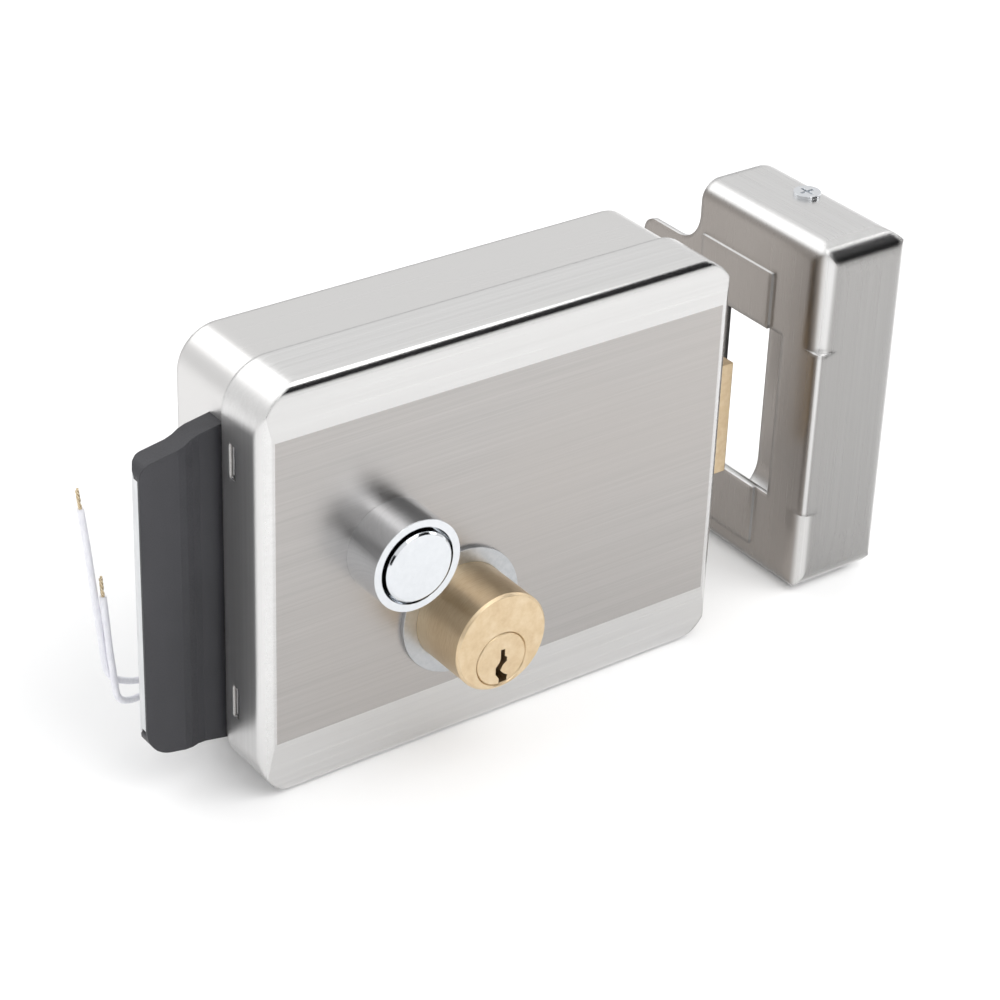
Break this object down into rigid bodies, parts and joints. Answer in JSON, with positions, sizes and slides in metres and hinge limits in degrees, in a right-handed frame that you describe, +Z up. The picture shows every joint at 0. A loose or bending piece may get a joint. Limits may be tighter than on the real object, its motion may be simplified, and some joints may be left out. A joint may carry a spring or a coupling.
{
  "type": "electric door strike",
  "caption": "Surface-mounted electric rim lock with a brass cylinder, release button, spring latch, side wing and wire leads, and its matching strike box.",
  "frame": {"origin": "centre of the lock's four door screws, on the back face that lies on the door", "axes": "+X to the right seen from the front, towards the latch bolt and the strike box; +Y into the door; +Z up"},
  "size_m": [0.206, 0.0846, 0.102],
  "materials": {
    "stainless": "brushed",
    "zinc_steel": "satin",
    "wing_steel": "satin",
    "trim_steel": "satin",
    "bright_steel": "bright",
    "spring_steel": "bright",
    "chrome": "polished",
    "brass": "satin",
    "cast_zinc": "as cast",
    "copper": "enamelled wire",
    "dark_plastic": "matte",
    "white_plastic": "matte",
    "white_insulation": "smooth",
    "rubber": "matte"
  },
  "bodies": {
    "lock": {"front_cover": "stainless", "rear_case": "stainless", "mounting_plate": "zinc_steel", "cover_clips": "bright_steel", "case_screws": "bright_steel", "side_bracket": "wing_steel", "side_cover": "dark_plastic", "bracket_screws": "bright_steel", "button_bezel": "chrome", "button_nut": "zinc_steel", "button_spring": "spring_steel", "cylinder_body": "brass", "cylinder_trim": "trim_steel", "cylinder_bracket": "zinc_steel", "cylinder_screws": "bright_steel", "driver_pins": "brass", "pin_springs": "spring_steel", "bolt_guide": "cast_zinc", "spring_post": "zinc_steel", "latch_spring": "spring_steel", "cocking_spring": "spring_steel", "solenoid_yoke": "zinc_steel", "coil_bobbin": "white_plastic", "coil_winding": "copper", "solenoid_core": "zinc_steel", "armature_spring": "spring_steel", "lever_pin": "bright_steel", "terminal_block": "dark_plastic", "terminal_screws": "bright_steel", "inner_leads": "white_insulation", "cable_grommet": "rubber", "lead_long": "white_insulation", "lead_short": "white_insulation"},
    "latch": {"latch_bolt": "brass", "latch_tail": "zinc_steel"},
    "plug": {"cylinder_plug": "brass", "plug_cam": "zinc_steel", "plug_clip": "spring_steel", "key_pins": "brass"},
    "cocking": {"cocking_bolt": "brass"},
    "button": {"button_cap": "chrome", "button_stem": "zinc_steel"},
    "armature": {"armature": "zinc_steel"},
    "lever": {"release_lever": "zinc_steel"},
    "strike": {"strike_cover": "stainless", "strike_bracket": "zinc_steel", "strike_screws": "bright_steel"}
  },
  "joints": [
    {"name": "plug_turn", "type": "hinge", "parent": "lock", "child": "plug", "pos_m": [-0.0117, -0.04, -0.0216], "axis": [0, -1, 0], "range_deg": [0, 64.8]},
    {"name": "latch_slide", "type": "slide", "parent": "lock", "child": "latch", "axis": [1, 0, 0], "range_m": [-0.015, 0], "stiffness_N_per_m": 250, "springref_m": 0.012, "deforming": ["latch_spring"]},
    {"name": "cocking_slide", "type": "slide", "parent": "lock", "child": "cocking", "axis": [1, 0, 0], "range_m": [-0.006, 0], "stiffness_N_per_m": 250, "springref_m": 0.006, "deforming": ["cocking_spring"]},
    {"name": "button_press", "type": "slide", "parent": "lock", "child": "button", "axis": [0, 1, 0], "range_m": [0, 0.004], "stiffness_N_per_m": 400, "springref_m": -0.004, "deforming": ["button_spring"]},
    {"name": "armature_slide", "type": "slide", "parent": "lock", "child": "armature", "axis": [1, 0, 0], "range_m": [-0.002, 0], "deforming": ["armature_spring"]},
    {"name": "lever_turn", "type": "hinge", "parent": "lock", "child": "lever", "pos_m": [-0.012, -0.0145, 0.018], "axis": [0, -1, 0], "range_deg": [0, 8]},
    {"name": "strike_fit", "type": "slide", "parent": "lock", "child": "strike", "axis": [1, 0, 0], "range_m": [-0.0215, 0]}
  ],
  "couplings": [
    {"joint": "plug_turn", "follows": "latch_slide", "rad_per_m": -75.39},
    {"joint": "armature_slide", "follows": "button_press", "ratio": -0.5},
    {"joint": "lever_turn", "follows": "button_press", "rad_per_m": 34.9}
  ]
}
